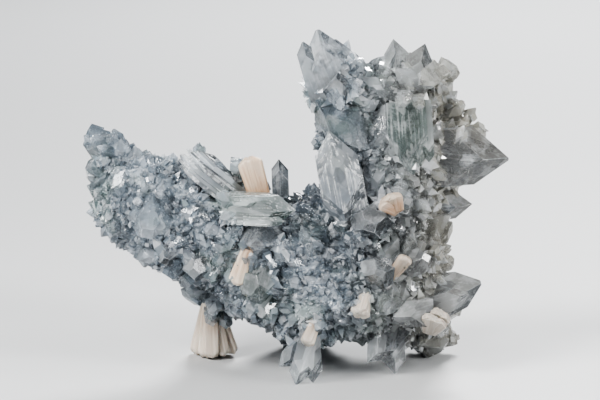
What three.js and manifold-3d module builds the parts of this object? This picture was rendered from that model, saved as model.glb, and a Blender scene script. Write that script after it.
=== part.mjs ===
// A cabinet-size mineral specimen: clear to grey apophyllite crystals and peach stilbite blades on a
// druse of small grey-blue crystals. It stands on broken crystal tips. Millimetres, +Z up, +Y away
// from the front, and the origin on the surface it stands on, under the middle of its outline.
import * as THREE from "three";
import { ConvexGeometry } from "three/addons/geometries/ConvexGeometry.js";
import { mergeVertices } from "three/addons/utils/BufferGeometryUtils.js";
import Module from "manifold-3d";

const wasm = await Module();
wasm.setup();

// Driving dimensions
const SOCKET_GAP = 0.35; // space between a grown crystal and the socket it stands in
const PYRAMID_TILT = 60.5; // degrees from an apophyllite's long axis to the normal of a pyramid face
const UNEVEN = 0.07; // how far faces grow out of place, as a share of the crystal's width
const FUSION = 2.2; // how softly neighbouring lumps run together
const POINT_ROOM = 1.54; // how far the body keeps inside its lumps, as room for its points
const LEDGE_HEIGHT = 1.3; // height of the ledges and depth of the pits between them
const LEDGE_WAVES = [[0.46, 0, 0], [0, 0.37, 0.52]]; // radians for each millimetre along x, y and z
const LEDGE_WANDER = { swing: 1.3, wave: [0, 0, 0.31] }; // how the ledges swing aside on the way up
const PIT_WAVES = [[0.29, 0.81, 0], [0.73, 0, -0.66]];
const PIT_SHARE = 0.6; // height of the pits' waves as a share of the ledges'
const POINT_SPACING = 4.5; // distance between the druse's own small crystal points
const POINT_SHARE = 0.6; // share of the druse's surface corners that grow a point
const POINT_HEIGHT = [1.3, 2.9]; // least and greatest height of a point
const COARSE_GROWTH = 0.5; // how much higher the points stand at the right side of the cluster
const COARSE_FROM_X = 12; // where they begin to grow higher
const COARSE_RUN = 25;
const GRID_LOW = [-72, -33, -16]; // corners of the grid that the body is sampled on
const GRID_HIGH = [68, 43, 112];
const JUST_INSIDE = -0.05; // the distance that a grid point gets when it is counted in
const BLADE_FLARE = 0.06; // how much a stilbite blade widens towards its end
const CHISEL_SLOPES = [-46, 0, 46]; // lean in degrees of the three faces of a blade's end
const CHISEL_DROP = 0.12; // how far the leaning ones keep back, as a share of the blade's width
const FAN_PIVOT = 0.66; // where the blades of a sheaf cross, as a share of its length below its tip
const SHORTER = { outer: 0.12, inner: 0.05 }; // how much shorter the outer and the second blades are
const SEEDS = { points: 20, edges: 500, crystals: 900 };
const WELD = 1e-4; // corners nearer than this are one
const WORKING_ROOM = 400; // larger than the whole cluster

const CLEAR = { color: 0xc9d2d4, roughness: 0.08, metalness: 0, opacity: 0.55, transparent: true };
const DRUSE = { color: 0x8b98a1, roughness: 0.45, metalness: 0 };
const PEACH = { color: 0xdcb28e, roughness: 0.4, metalness: 0 };

// The druse body, as overlapping lumps: centre, radii, and its lean in degrees about the depth axis
const LUMPS = [
  { at: [-54, 4, 61], radii: [8, 10, 8], lean: 0 }, // end of the arm
  { at: [-51, 1, 49], radii: [9.5, 12, 12], lean: 12 },
  { at: [-42, 3, 53], radii: [11.5, 13, 11], lean: 20 },
  { at: [-39.5, -1, 40.5], radii: [13, 14, 10.5], lean: 25 },
  { at: [-28, 2, 45], radii: [14, 15, 13], lean: 15 },
  { at: [-23, 1, 32.5], radii: [14.5, 16, 12.5], lean: 30 },
  { at: [-11.5, 3, 38], radii: [14, 17, 13.5], lean: 0 },
  { at: [-11, 1, 24], radii: [15, 18, 11.5], lean: 10 },
  { at: [3.5, 2, 33], radii: [16, 20, 16.5], lean: 0 }, // heart of the cluster
  { at: [5, -3, 20.5], radii: [14, 18, 12.5], lean: 0 },
  { at: [18, 1, 21.5], radii: [16.5, 21, 12.5], lean: 0 },
  { at: [18, 4, 39], radii: [16, 20, 14.5], lean: 0 },
  { at: [33, 4, 31.5], radii: [12.5, 19, 15.5], lean: 0 },
  { at: [34.5, 5, 16.5], radii: [11.5, 17, 11], lean: 0 },
  { at: [27, 4, 49.5], radii: [18, 18, 13], lean: 0 }, // neck of the tower
  { at: [24, 4, 64.5], radii: [17.5, 16, 14], lean: 0 },
  { at: [37, 6, 64], radii: [13.5, 16, 13.5], lean: 10 },
  { at: [15, 3, 71], radii: [9.5, 12, 10], lean: 0 },
  { at: [16, 3, 83], radii: [9.5, 11, 10.5], lean: 8 },
  { at: [31, 6, 80.5], radii: [12, 12, 11], lean: -15 },
  { at: [42, 13, 6], radii: [8, 10, 8.5], lean: 0 }, // right foot
  { at: [4, 19, 14], radii: [14, 12, 18], lean: 0 }, // rear foot, broken flat where it rests
  { at: [23, 17, 32], radii: [14, 12, 20], lean: 0 },
  { at: [-17, 13, 23], radii: [12, 10, 11], lean: 25 },
];

// Apophyllite crystals that stand clear as pieces of their own. Each has its tip, the way it points,
// its width and depth across, its length, how much of its apex is cut off flat, and a roll.
const CRYSTALS = {
  tall_double_crystal: [
    { tip: [10.4, -12.2, 73.8], toward: [-5.6, 0, 30], wide: 13, deep: 10.5, long: 31, bothEnds: 3.5 },
  ],
  right_point_crystal: [
    { tip: [64.6, -1, 63], toward: [1, -0.1, -0.04], wide: 17.4, deep: 13.4, long: 27, blunt: 0.4 },
  ],
  lower_right_crystal: [
    { tip: [56.4, -7, 27.5], toward: [0.9, -0.2, 0.36], wide: 12, deep: 9, long: 22, blunt: 1.6 },
  ],
  top_left_crystals: [
    { tip: [6.4, -3, 102.6], toward: [-0.3, -0.05, 1], wide: 10.5, deep: 9, long: 24, blunt: 1.8 },
    { tip: [2.4, -4, 98.2], toward: [-0.3, -0.1, 1], wide: 5.5, deep: 6, long: 20, blunt: 0.8 },
    { tip: [11.6, -1, 99.2], toward: [-0.28, 0, 1], wide: 7.5, deep: 7, long: 20, blunt: 1.4 },
    { tip: [11, -14.5, 86], toward: [-0.3, -0.9, 0.25], wide: 11, deep: 11.5, long: 18, blunt: 4.6, roll: 6 },
  ],
  top_right_crystals: [
    { tip: [29.2, 2, 98], toward: [-0.16, 0, 1], wide: 7, deep: 6, long: 17, blunt: 0.2 },
    { tip: [38.4, 0, 97.4], toward: [0.3, -0.1, 1], wide: 8.5, deep: 7.5, long: 20, blunt: 0.5 },
  ],
  tower_window_crystal: [
    { tip: [34.6, -14, 59.3], toward: [0.06, -0.34, -0.9], wide: 12, deep: 8, long: 22, blunt: 0.4, roll: 8 },
  ],
  centre_lens_crystal: [
    { tip: [-11.4, -21, 39.4], toward: [-0.15, -0.95, -0.08], wide: 14, deep: 9.5, long: 17, blunt: 3.6 },
  ],
  horizontal_crystal: [
    { tip: [1.4, -14.5, 50], toward: [0.95, -0.32, 0.02], wide: 8.5, deep: 8, long: 22, blunt: 0.3 },
  ],
  plate_crystals: [
    { tip: [-8.6, -25.5, 26.5], toward: [0.16, -0.95, -0.16], wide: 12, deep: 10, long: 18, blunt: 4.2, roll: 12 },
    { tip: [-7, -20, 17.6], toward: [0.1, -0.85, -0.5], wide: 7, deep: 6.5, long: 13, blunt: 2.6, roll: 20 },
  ],
  left_button_crystal: [
    { tip: [-29.2, -18.8, 30.8], toward: [-0.12, -0.95, -0.2], wide: 8.5, deep: 8, long: 13, blunt: 2.8 },
  ],
  arm_button_crystal: [
    { tip: [-37.4, -18, 34.6], toward: [-0.1, -0.95, -0.3], wide: 7.5, deep: 7.5, long: 13, blunt: 2.4, roll: 15 },
  ],
  arm_striated_crystals: [
    { tip: [-33, -5.5, 64.7], toward: [-0.72, -0.2, 0.62], wide: 7.5, deep: 6, long: 23, blunt: 1.2, roll: 10 },
    { tip: [-28.6, -2, 66], toward: [-0.5, -0.1, 0.8], wide: 7, deep: 6, long: 22, blunt: 1, roll: 20 },
  ],
  ridge_point_crystal: [
    { tip: [-4.2, 5, 61.8], toward: [-0.04, 0, 1], wide: 5, deep: 4.6, long: 16, blunt: 0 },
  ],
  right_button_crystal: [
    { tip: [25.2, -25, 33.3], toward: [0.05, -0.97, 0.15], wide: 10, deep: 9.5, long: 18, blunt: 3, roll: 18 },
  ],
  hex_front_crystal: [
    { tip: [21.4, -23.5, 45.8], toward: [-0.1, -0.96, -0.06], wide: 11, deep: 10, long: 17, blunt: 3.4, roll: 30 },
  ],
  flash_crystal: [
    { tip: [39.4, -18, 37.4], toward: [0.42, -0.8, 0.4], wide: 9, deep: 8, long: 15, blunt: 2.2, roll: 10 },
  ],
  lying_crystal: [
    { tip: [27.6, -18, 18.7], toward: [-0.86, -0.48, -0.06], wide: 8.5, deep: 8, long: 13, blunt: 1 },
  ],
  right_side_crystal: [
    { tip: [53.6, 3, 48.2], toward: [1, -0.12, 0.06], wide: 8, deep: 7, long: 15, blunt: 0.2 },
  ],
  front_foot_crystals: [
    { tip: [-4.6, -19.5, 4.4], toward: [-0.72, -0.4, -0.52], wide: 5.4, deep: 5, long: 18, blunt: 0.5 },
    { tip: [0.6, -22.5, -0.5], toward: [-0.26, -0.45, -0.86], wide: 5.8, deep: 5.4, long: 18, blunt: 0.2 },
    { tip: [5.8, -21.5, -0.2], toward: [0.06, -0.4, -0.92], wide: 6.2, deep: 5.6, long: 18, blunt: 0.6 },
  ],
  right_foot_crystals: [
    { tip: [21.2, -14.5, 3.8], toward: [-0.62, -0.4, -0.68], wide: 7, deep: 6, long: 17, blunt: 0.4 },
    { tip: [29.8, -11, -0.6], toward: [0.06, -0.35, -0.94], wide: 7.6, deep: 7, long: 18, blunt: 0.3 },
  ],
  rear_fan_crystals: [
    { tip: [-2, 33, 44], toward: [-0.3, 0.9, 0.35], wide: 11, deep: 10, long: 20, blunt: 1.4 },
    { tip: [8, 35, 36], toward: [0.25, 0.95, -0.1], wide: 10, deep: 9, long: 20, blunt: 0.4 },
  ],
  rear_tower_crystal: [
    { tip: [31, 31, 66], toward: [0.25, 0.9, 0.35], wide: 13, deep: 12, long: 22, blunt: 1.2, roll: 12 },
  ],
  rear_arm_crystal: [
    { tip: [-39, 25, 46], toward: [-0.3, 0.9, 0.1], wide: 9, deep: 8.5, long: 17, blunt: 0.6, roll: 20 },
  ],
};

// Stilbite sheaves: the free end, the way the sheaf points, the blade's width and thickness, its length,
// and how many blades fan out over how many degrees
const STILBITES = {
  stilbite_tall_blade: {
    tip: [-13.6, -5, 64.5], toward: [-0.3, -0.02, 1], wide: 6.4, thick: 4, long: 24, blades: 2, fan: 5,
  },
  stilbite_lower_blade: {
    tip: [-17.2, -16.5, 27.8], toward: [-0.36, -0.3, -0.9], wide: 4.4, thick: 3.4, long: 13, blades: 2, fan: 6,
  },
  stilbite_bow_tie: {
    tip: [-24, 9, -0.6], toward: [0.05, -0.12, -1], wide: 6, thick: 7, long: 27, blades: 3, fan: 34,
  },
  stilbite_small_fan: {
    tip: [18.6, -21.5, 20.5], toward: [-0.3, -0.75, -0.5], wide: 3.8, thick: 4, long: 9, blades: 3, fan: 28,
  },
  stilbite_foot_blade: {
    tip: [3.6, -24, 12], toward: [-0.34, -0.6, -0.72], wide: 3.4, thick: 3, long: 11, blades: 2, fan: 10,
  },
  stilbite_right_blade: {
    tip: [33, -17.6, 37], toward: [0.5, -0.42, 0.76], wide: 3.6, thick: 3.2, long: 15, blades: 2, fan: 6,
  },
  stilbite_orange_knot: {
    tip: [28.4, -20, 53], toward: [0.1, -0.96, 0.1], wide: 5.5, thick: 4.4, long: 10, blades: 3, fan: 34,
  },
  stilbite_cream_knot: {
    tip: [43, -16.5, 17.2], toward: [0.35, -0.9, -0.06], wide: 6, thick: 4.6, long: 12, blades: 3, fan: 24,
  },
  stilbite_rear_sheaf: {
    tip: [19, 33.5, 22], toward: [0.1, 0.95, -0.2], wide: 6, thick: 5, long: 14, blades: 3, fan: 40,
  },
};

// Crystals of the druse itself that shape its outline: tip, the way each points, and its width
const EDGE_CRYSTALS = [
  // along the top of the arm, from its end to the notch
  { tip: [-52, 0, 70.4], toward: [0.3, -0.1, 1], wide: 6.4 },
  { tip: [-27, 3, 67.2], toward: [0.35, 0, 1], wide: 5.6 },
  { tip: [-21.6, 4, 62.4], toward: [0.1, 0, 1], wide: 4 },
  { tip: [-17.4, 2, 61], toward: [-0.3, 0, 1], wide: 4.6 },
  { tip: [-8.6, 4, 59.6], toward: [0.35, 0, 1], wide: 4.8 },
  // down the right side of the tower
  { tip: [45.4, 2, 92.6], toward: [0.5, 0, 1], wide: 5.4 },
  { tip: [48.4, 4, 85], toward: [0.8, -0.1, 0.7], wide: 5 },
  { tip: [52.2, 3, 80.4], toward: [0.9, 0, 0.6], wide: 5 },
  { tip: [54.8, 5, 76], toward: [1, 0, 0.4], wide: 4.6 },
  { tip: [57.4, 5, 71.6], toward: [1, 0.1, 0.3], wide: 6 },
  // the right side below the tower, and the right foot
  { tip: [48.6, 12, 34], toward: [1, 0, 0.2], wide: 9 },
  { tip: [51.4, 8, 14], toward: [1, -0.2, -0.1], wide: 5 },
  // along the lower edge, beside the bow tie and beside the front foot
  { tip: [-33.6, 2, 19.4], toward: [-0.8, -0.1, -0.5], wide: 6 },
  { tip: [-6.4, -19, 11], toward: [-0.6, -0.7, -0.4], wide: 6 },
];

// Repeatable random numbers from 0 to 1 (a 32-bit mixing generator)
function seededRandom(seed) {
  let state = seed >>> 0;
  return () => {
    state = (state + 0x6d2b79f5) >>> 0;
    let mixed = Math.imul(state ^ (state >>> 15), state | 1);
    mixed ^= mixed + Math.imul(mixed ^ (mixed >>> 7), mixed | 61);
    return ((mixed ^ (mixed >>> 14)) >>> 0) / 2 ** 32;
  };
}

// A closed geometry as a solid that can be joined and cut
function solidFrom(geometry) {
  const bare = geometry.clone();
  bare.deleteAttribute("normal");
  bare.deleteAttribute("uv");
  const merged = mergeVertices(bare, WELD);
  return new wasm.Manifold(
    new wasm.Mesh({
      numProp: 3,
      vertProperties: new Float32Array(merged.attributes.position.array),
      triVerts: new Uint32Array(merged.index.array),
    }),
  );
}

function geometryFrom(solid) {
  const mesh = solid.getMesh();
  const geometry = new THREE.BufferGeometry();
  geometry.setAttribute("position", new THREE.BufferAttribute(new Float32Array(mesh.vertProperties), 3));
  geometry.setIndex(new THREE.BufferAttribute(new Uint32Array(mesh.triVerts), 1));
  geometry.computeVertexNormals();
  return geometry;
}

const joined = (solids) => solids.reduce((whole, solid) => whole.add(solid));

// The largest of a solid's separate bodies: cutting a socket can leave loose splinters
function largestBody(solid) {
  return solid.decompose().reduce((best, body) => (body.volume() > best.volume() ? body : best));
}

const plane = (x, y, z, offset) => ({ normal: new THREE.Vector3(x, y, z).normalize(), offset });

// The convex solid inside a set of planes: every point where three of them meet and no other cuts it off
function solidInside(planes, placement) {
  const corners = [];
  for (let i = 0; i < planes.length; i++)
    for (let j = i + 1; j < planes.length; j++)
      for (let k = j + 1; k < planes.length; k++) {
        const [a, b, c] = [planes[i], planes[j], planes[k]];
        const bc = b.normal.clone().cross(c.normal);
        const spread = a.normal.dot(bc);
        if (Math.abs(spread) < 1e-6) continue;
        const corner = bc.multiplyScalar(a.offset);
        corner.addScaledVector(c.normal.clone().cross(a.normal), b.offset);
        corner.addScaledVector(a.normal.clone().cross(b.normal), c.offset);
        corner.divideScalar(spread);
        if (planes.some((p) => p.normal.dot(corner) > p.offset + 1e-5)) continue;
        if (corners.every((known) => known.distanceTo(corner) > 1e-3)) corners.push(corner);
      }
  return solidFrom(new ConvexGeometry(corners).applyMatrix4(placement));
}

// Turns local +Z to the way a crystal points, with its width as nearly across the front as it can be
function placementOf({ tip, toward, roll = 0 }) {
  const along = new THREE.Vector3(...toward).normalize();
  const facesFront = Math.abs(along.y) > 0.75;
  const reference = facesFront ? new THREE.Vector3(0, 0, 1) : new THREE.Vector3(0, 1, 0);
  const across = reference.cross(along).normalize();
  const deep = along.clone().cross(across);
  return new THREE.Matrix4()
    .makeBasis(across, deep, along)
    .multiply(new THREE.Matrix4().makeRotationZ(THREE.MathUtils.degToRad(roll)))
    .setPosition(...tip);
}

// Apophyllite: a square prism under a four-sided pyramid whose faces stand over the prism's edges,
// its apex often cut off flat. The apex is at the local origin and the root below it.
function apophyllitePlanes({ wide, deep, long, blunt = 0, bothEnds, random, grow = 0 }) {
  const tilt = THREE.MathUtils.degToRad(PYRAMID_TILT);
  const side = Math.sin(tilt) / Math.SQRT2;
  const rise = Math.cos(tilt);
  const slip = () => -UNEVEN * wide * random();
  const planes = [
    plane(1, 0, 0, wide / 2),
    plane(-1, 0, 0, wide / 2 + slip()),
    plane(0, 1, 0, deep / 2 + slip()),
    plane(0, -1, 0, deep / 2),
    plane(0, 0, 1, -blunt),
    plane(0, 0, -1, long - (bothEnds ?? 0)),
  ];
  for (const [x, y] of [[1, 1], [-1, 1], [-1, -1], [1, -1]]) {
    planes.push(plane(x * side, y * side, rise, slip()));
    if (bothEnds !== undefined) planes.push(plane(x * side, y * side, -rise, rise * long + slip()));
  }
  return planes.map(({ normal, offset }) => ({ normal, offset: offset + grow }));
}

function apophyllite(crystal, seed, grow = 0) {
  const random = seededRandom(seed);
  return solidInside(apophyllitePlanes({ ...crystal, random, grow }), placementOf(crystal));
}

// Stilbite: a flat blade that widens a little to a domed end of three narrow faces
function stilbiteBlade({ wide, thick, long }, grow) {
  const planes = [
    plane(0, 1, -BLADE_FLARE, thick / 2),
    plane(0, -1, -BLADE_FLARE, thick / 2),
    plane(1, 0, -BLADE_FLARE, wide / 2),
    plane(-1, 0, -BLADE_FLARE, wide / 2),
    plane(0, 0, -1, long),
  ];
  for (const slope of CHISEL_SLOPES) {
    const turn = THREE.MathUtils.degToRad(slope);
    const drop = CHISEL_DROP * wide * Math.abs(Math.sin(turn));
    planes.push(plane(Math.sin(turn), 0, Math.cos(turn), drop));
  }
  return planes.map(({ normal, offset }) => ({ normal, offset: offset + grow }));
}

// A sheaf of blades that cross near their roots and spread towards the free end
function stilbiteSheaf(sheaf, grow = 0) {
  const blades = [];
  for (let i = 0; i < sheaf.blades; i++) {
    const share = i / (sheaf.blades - 1) - 0.5;
    const turn = THREE.MathUtils.degToRad(sheaf.fan * share);
    const short = sheaf.long * (1 - SHORTER.outer * Math.abs(share) - SHORTER.inner * (i % 2));
    const blade = stilbiteBlade({ wide: sheaf.wide, thick: sheaf.thick, long: short }, grow);
    const placement = placementOf(sheaf)
      .multiply(new THREE.Matrix4().makeTranslation(0, 0, -FAN_PIVOT * sheaf.long))
      .multiply(new THREE.Matrix4().makeRotationY(turn))
      .multiply(new THREE.Matrix4().makeTranslation(0, 0, FAN_PIVOT * short));
    blades.push(solidInside(blade, placement));
  }
  return blades;
}

// The smallest convex solid round some solids
function wrapped(solids) {
  const points = [];
  for (const solid of solids) {
    const { vertProperties } = solid.getMesh();
    for (let i = 0; i < vertProperties.length; i += 3)
      points.push(new THREE.Vector3(...vertProperties.subarray(i, i + 3)));
  }
  return solidFrom(new ConvexGeometry(points));
}

// About how far a point is outside a lump, in millimetres, negative inside it
function distanceToLump(lump, [px, py, pz]) {
  const turn = THREE.MathUtils.degToRad(lump.lean);
  const [dx, dy, dz] = [px - lump.at[0], py - lump.at[1], pz - lump.at[2]];
  const x = dx * Math.cos(turn) - dz * Math.sin(turn);
  const z = dx * Math.sin(turn) + dz * Math.cos(turn);
  const [rx, ry, rz] = lump.radii;
  return (Math.hypot(x / rx, dy / ry, z / rz) - 1) * Math.min(rx, ry, rz);
}

// How far along a wave a point is, in radians
const phase = (wave, point) => wave.reduce((sum, rate, axis) => sum + rate * point[axis], 0);

// The druse body without its points: lumps run together softly, broken by ledges and pits
function distanceToBody(point) {
  const nearness = LUMPS.reduce((sum, lump) => sum + Math.exp(-distanceToLump(lump, point) / FUSION), 0);
  const aside = LEDGE_WANDER.swing * Math.sin(phase(LEDGE_WANDER.wave, point));
  const ledges = Math.sin(phase(LEDGE_WAVES[0], point) + aside) * Math.sin(phase(LEDGE_WAVES[1], point));
  const pits = Math.sin(phase(PIT_WAVES[0], point)) * Math.cos(phase(PIT_WAVES[1], point));
  return POINT_ROOM - FUSION * Math.log(nearness) - LEDGE_HEIGHT * (ledges + PIT_SHARE * pits);
}

// The way out of the body at a point, from the slope of its distance
function outwardAt(point) {
  const step = 0.5;
  const slope = [0, 1, 2].map((axis) => {
    const ahead = point.map((value, i) => value + (i === axis ? step : 0));
    const behind = point.map((value, i) => value - (i === axis ? step : 0));
    return distanceToBody(ahead) - distanceToBody(behind);
  });
  return new THREE.Vector3(...slope).normalize();
}

const moved = (cell, axis, by) => cell.map((n, i) => (i === axis ? n + by : n));
const gridPoint = (steps) => steps.map((n, axis) => GRID_LOW[axis] + n * POINT_SPACING);

// The body's distance at every point of a grid. Where two parts of the body would touch only along an
// edge or at a corner, one more point is counted in, so that the surface stays in one sheet.
function sampledBody(counts) {
  const [nx, ny, nz] = counts;
  const values = new Float64Array(nx * ny * nz);
  const index = (x, y, z) => (x * ny + y) * nz + z;
  for (let x = 0; x < nx; x++)
    for (let y = 0; y < ny; y++)
      for (let z = 0; z < nz; z++)
        values[index(x, y, z)] = distanceToBody(gridPoint([x, y, z]));

  const offsets = [[0, 0, 0], [0, 0, 1], [0, 1, 0], [0, 1, 1], [1, 0, 0], [1, 0, 1], [1, 1, 0], [1, 1, 1]];
  // corner numbers of a cell: four around each side in turn
  const sides = [[0, 1, 3, 2], [4, 5, 7, 6], [0, 1, 5, 4], [2, 3, 7, 6], [0, 2, 6, 4], [1, 3, 7, 5]];
  let changed = true;
  while (changed) {
    changed = false;
    for (let x = 0; x < nx - 1; x++)
      for (let y = 0; y < ny - 1; y++)
        for (let z = 0; z < nz - 1; z++) {
          const at = offsets.map(([i, j, k]) => index(x + i, y + j, z + k));
          const inside = at.map((place) => values[place] < 0);
          const crossed = sides.find(([a, b, c, d]) =>
            inside[a] === inside[c] && inside[b] === inside[d] && inside[a] !== inside[b]);
          const count = inside.filter(Boolean).length;
          const opposite = [0, 1, 2, 3].some((n) =>
            inside[n] === inside[7 - n] && count === (inside[n] ? 2 : 6));
          if (!crossed && !opposite) continue;
          const outside = (crossed ?? [0, 1, 2, 3, 4, 5, 6, 7]).filter((n) => !inside[n]);
          const nearest = outside.reduce((best, n) => (values[at[n]] < values[at[best]] ? n : best));
          values[at[nearest]] = JUST_INSIDE;
          changed = true;
        }
  }
  return { values, index };
}

// The druse's surface as a net of four-cornered meshes. Each cell of a grid that the surface crosses
// gets one corner, where the surface crosses its edges on average. Some corners are then drawn out
// into points, and each mesh is folded across its lower diagonal, so that a point is a pyramid.
function druseSurface() {
  const random = seededRandom(SEEDS.points);
  const counts = GRID_HIGH.map((high, axis) => Math.ceil((high - GRID_LOW[axis]) / POINT_SPACING) + 1);
  const { values, index } = sampledBody(counts);
  const corners = new Map();
  const cornerOf = (cell) => {
    const key = index(...cell);
    if (!corners.has(key)) corners.set(key, { sum: [0, 0, 0], count: 0 });
    return corners.get(key);
  };

  // each grid edge that the surface crosses makes a mesh, with a corner in each of the four cells around it
  const meshes = [];
  for (let x = 1; x < counts[0] - 1; x++)
    for (let y = 1; y < counts[1] - 1; y++)
      for (let z = 1; z < counts[2] - 1; z++)
        for (const axis of [0, 1, 2]) {
          const start = [x, y, z];
          const here = values[index(...start)];
          const there = values[index(...moved(start, axis, 1))];
          if (here < 0 === there < 0) continue;
          const crossing = gridPoint(start);
          crossing[axis] += (POINT_SPACING * here) / (here - there);
          const [next, last] = [(axis + 1) % 3, (axis + 2) % 3];
          const beside = moved(start, next, -1);
          const ring = [start, beside, moved(beside, last, -1), moved(start, last, -1)].map(cornerOf);
          for (const corner of ring) {
            crossing.forEach((value, i) => (corner.sum[i] += value));
            corner.count += 1;
          }
          meshes.push(here < 0 ? ring : ring.reverse());
        }

  const positions = [];
  for (const corner of corners.values()) {
    const point = corner.sum.map((value) => value / corner.count);
    const coarse = THREE.MathUtils.clamp((point[0] - COARSE_FROM_X) / COARSE_RUN, 0, 1);
    const [least, greatest] = POINT_HEIGHT;
    const height = THREE.MathUtils.lerp(least, greatest, random()) * (1 + COARSE_GROWTH * coarse);
    const outward = outwardAt(point);
    const end = outward.toArray().map((value, i) => point[i] + value * height);
    // no points in pits, where they would run into each other
    const grows = random() < POINT_SHARE && distanceToBody(end) > 0.5 * height;
    corner.height = grows ? height : 0;
    corner.index = positions.length / 3;
    positions.push(...(grows ? end : point));
  }
  const triangles = meshes.flatMap(([a, b, c, d]) => {
    const faces = a.height + c.height < b.height + d.height ? [a, b, c, a, c, d] : [b, c, d, b, d, a];
    return faces.map((corner) => corner.index);
  });
  const geometry = new THREE.BufferGeometry();
  geometry.setAttribute("position", new THREE.Float32BufferAttribute(positions, 3));
  geometry.setIndex(triangles);
  return geometry;
}

function edgeCrystals() {
  return EDGE_CRYSTALS.map(({ tip, toward, wide }, index) =>
    apophyllite(
      { tip, toward, wide, deep: wide * 0.9, long: wide * 1.5 + 4, blunt: 0.2 },
      SEEDS.edges + index,
    ));
}

// Everything below the surface it stands on is broken away
function aboveTable(solid) {
  const room = new THREE.BoxGeometry(WORKING_ROOM, WORKING_ROOM, WORKING_ROOM);
  room.translate(0, 0, WORKING_ROOM / 2);
  return solid.intersect(solidFrom(room));
}

// Separate pieces, each cut back where an earlier one already stands
function grownPieces() {
  const whole = [];
  for (const [name, sheaf] of Object.entries(STILBITES)) {
    const socket = wrapped(stilbiteSheaf(sheaf, SOCKET_GAP));
    whole.push({ name, look: PEACH, solid: joined(stilbiteSheaf(sheaf)), socket });
  }
  Object.entries(CRYSTALS).forEach(([name, group], index) => {
    const firstSeed = SEEDS.crystals + 10 * index;
    const make = (grow) => joined(group.map((crystal, i) => apophyllite(crystal, firstSeed + i, grow)));
    whole.push({ name, look: CLEAR, solid: make(0), socket: make(SOCKET_GAP) });
  });
  const cut = [];
  for (const { name, look, solid, socket } of whole) {
    let rest = aboveTable(solid);
    for (const earlier of cut) rest = rest.subtract(earlier.socket);
    cut.push({ name, look, solid: largestBody(rest), socket });
  }
  return cut;
}

const pieces = grownPieces();
const sockets = joined(pieces.map((piece) => piece.socket));
const druse = aboveTable(joined([solidFrom(druseSurface()), ...edgeCrystals()])).subtract(sockets);

const cluster = new THREE.Group();
const addPiece = (name, look, solid) => {
  const mesh = new THREE.Mesh(geometryFrom(solid), new THREE.MeshStandardMaterial(look));
  mesh.name = name;
  cluster.add(mesh);
};
addPiece("druse_matrix", DRUSE, largestBody(druse));
for (const { name, look, solid } of pieces) addPiece(name, look, solid);

// The origin goes under the middle of the outline
const outline = new THREE.Box3().setFromObject(cluster);
const middle = outline.getCenter(new THREE.Vector3());
cluster.position.set(-middle.x, -middle.y, -outline.min.z);

export default cluster;
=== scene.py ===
"""An apophyllite cluster with peach stilbite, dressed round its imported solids."""
import math

import bpy
import numpy as np
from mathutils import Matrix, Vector, kdtree
from mathutils.bvhtree import BVHTree


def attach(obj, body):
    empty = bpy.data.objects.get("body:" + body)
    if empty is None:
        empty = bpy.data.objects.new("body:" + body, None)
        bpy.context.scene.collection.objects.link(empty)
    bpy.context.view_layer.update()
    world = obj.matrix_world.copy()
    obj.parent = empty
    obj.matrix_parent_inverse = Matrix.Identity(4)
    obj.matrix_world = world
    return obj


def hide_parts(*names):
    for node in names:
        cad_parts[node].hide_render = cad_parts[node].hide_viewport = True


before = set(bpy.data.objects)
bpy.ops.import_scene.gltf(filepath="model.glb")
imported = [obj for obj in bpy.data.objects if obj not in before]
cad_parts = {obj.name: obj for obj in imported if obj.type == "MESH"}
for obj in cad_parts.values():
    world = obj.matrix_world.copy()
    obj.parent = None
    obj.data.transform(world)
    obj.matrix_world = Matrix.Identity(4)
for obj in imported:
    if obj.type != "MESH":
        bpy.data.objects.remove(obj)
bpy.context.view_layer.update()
MM = 0.001


# The druse body: a branching mass of intergrown apophyllite, grey-blue and dull where it is thick. It
# carries everything else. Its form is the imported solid's, softened, so that the crystals that grow on
# it can make the detail.
BODY_VOXEL = 1.0 * MM
BODY_GRIT = 2.2 * MM
BODY_RELIEF = 0.5 * MM
BODY_SOFTENING = 4
BODY_INSET = 1.4 * MM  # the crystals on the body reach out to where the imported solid's surface is


def new_object(name, data):
    """An object of this name and data, in the scene."""
    piece = bpy.data.objects.new(name, data)
    bpy.context.scene.collection.objects.link(piece)
    return piece


def merged_copy(node, name):
    """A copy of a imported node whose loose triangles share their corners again."""
    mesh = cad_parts[node].data.copy()
    mesh.name = name
    mesh.materials.clear()
    piece = new_object(name, mesh)
    weld = piece.modifiers.new("weld", "WELD")
    weld.merge_threshold = 0.002 * MM
    return piece


def apply_modifiers(piece):
    """Replaces a piece's mesh by what its modifiers make of it."""
    depsgraph = bpy.context.evaluated_depsgraph_get()
    finished = bpy.data.meshes.new_from_object(piece.evaluated_get(depsgraph))
    piece.modifiers.clear()
    piece.data = finished
    return piece


def read(items, field, width=1):
    """One value, or one row of values, for each vertex or face of a mesh, as an array."""
    values = np.empty(len(items) * width, np.float32)
    items.foreach_get(field, values)
    return values.astype(float).reshape(-1, width) if width > 1 else values.astype(float)


def store(mesh, name, values, place="POINT"):
    """Gives a mesh a value or a vector of this name for each of its vertices or faces."""
    kind, field = ("FLOAT_VECTOR", "vector") if values.ndim > 1 else ("FLOAT", "value")
    layer = mesh.attributes.new(name, kind, place)
    layer.data.foreach_set(field, values.astype(np.float32).ravel())


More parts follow.
